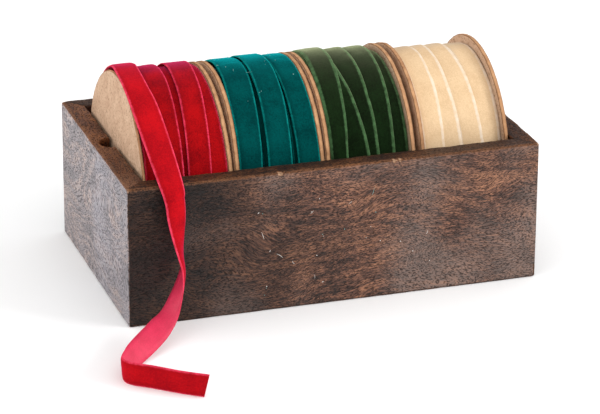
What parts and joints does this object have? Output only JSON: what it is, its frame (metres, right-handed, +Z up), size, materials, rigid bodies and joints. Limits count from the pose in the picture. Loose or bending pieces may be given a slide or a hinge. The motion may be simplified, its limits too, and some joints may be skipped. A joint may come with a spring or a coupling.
{
  "type": "ribbon spool box",
  "caption": "Open mitred wooden box with flanged spools of velvet ribbon on a lift-out dowel, each spool turning by itself, and one ribbon's loose end hanging over the front.",
  "frame": {"origin": "centre of the box's underside, on the surface it stands on", "axes": "+X along the row of spools to the right, +Y to the back, +Z up"},
  "size_m": [0.2729, 0.2547, 0.1293],
  "materials": {
    "stained_wood": "satin",
    "plain_wood": "matte",
    "kraft_board": "matte",
    "red_velvet": "matte",
    "teal_velvet": "matte",
    "green_velvet": "matte",
    "cream_velvet": "matte"
  },
  "bodies": {
    "box": {"front_board": "stained_wood", "back_board": "stained_wood", "left_end_board": "stained_wood", "right_end_board": "stained_wood", "bottom_panel": "stained_wood"},
    "axle": {"dowel": "plain_wood", "red_ribbon_tail": "red_velvet"},
    "red_spool": {"red_left_flange": "kraft_board", "red_right_flange": "kraft_board", "red_core": "kraft_board", "red_ribbon": "red_velvet"},
    "teal_spool": {"teal_left_flange": "kraft_board", "teal_right_flange": "kraft_board", "teal_core": "kraft_board", "teal_ribbon": "teal_velvet"},
    "green_spool": {"green_left_flange": "kraft_board", "green_right_flange": "kraft_board", "green_core": "kraft_board", "green_ribbon": "green_velvet"},
    "cream_spool": {"cream_left_flange": "kraft_board", "cream_right_flange": "kraft_board", "cream_core": "kraft_board", "cream_ribbon": "cream_velvet"}
  },
  "joints": [
    {"name": "row_lift", "type": "slide", "parent": "box", "child": "axle", "axis": [0, 0, 1], "range_m": [0, 0.1]},
    {"name": "red_spin", "type": "hinge", "parent": "axle", "child": "red_spool", "pos_m": [-0.08425, 0, 0.0655], "axis": [1, 0, 0], "continuous": true},
    {"name": "teal_spin", "type": "hinge", "parent": "axle", "child": "teal_spool", "pos_m": [-0.02875, 0, 0.0655], "axis": [1, 0, 0], "continuous": true},
    {"name": "green_spin", "type": "hinge", "parent": "axle", "child": "green_spool", "pos_m": [0.02695, 0, 0.0655], "axis": [1, 0, 0], "continuous": true},
    {"name": "cream_spin", "type": "hinge", "parent": "axle", "child": "cream_spool", "pos_m": [0.08515, 0, 0.0655], "axis": [1, 0, 0], "continuous": true}
  ]
}
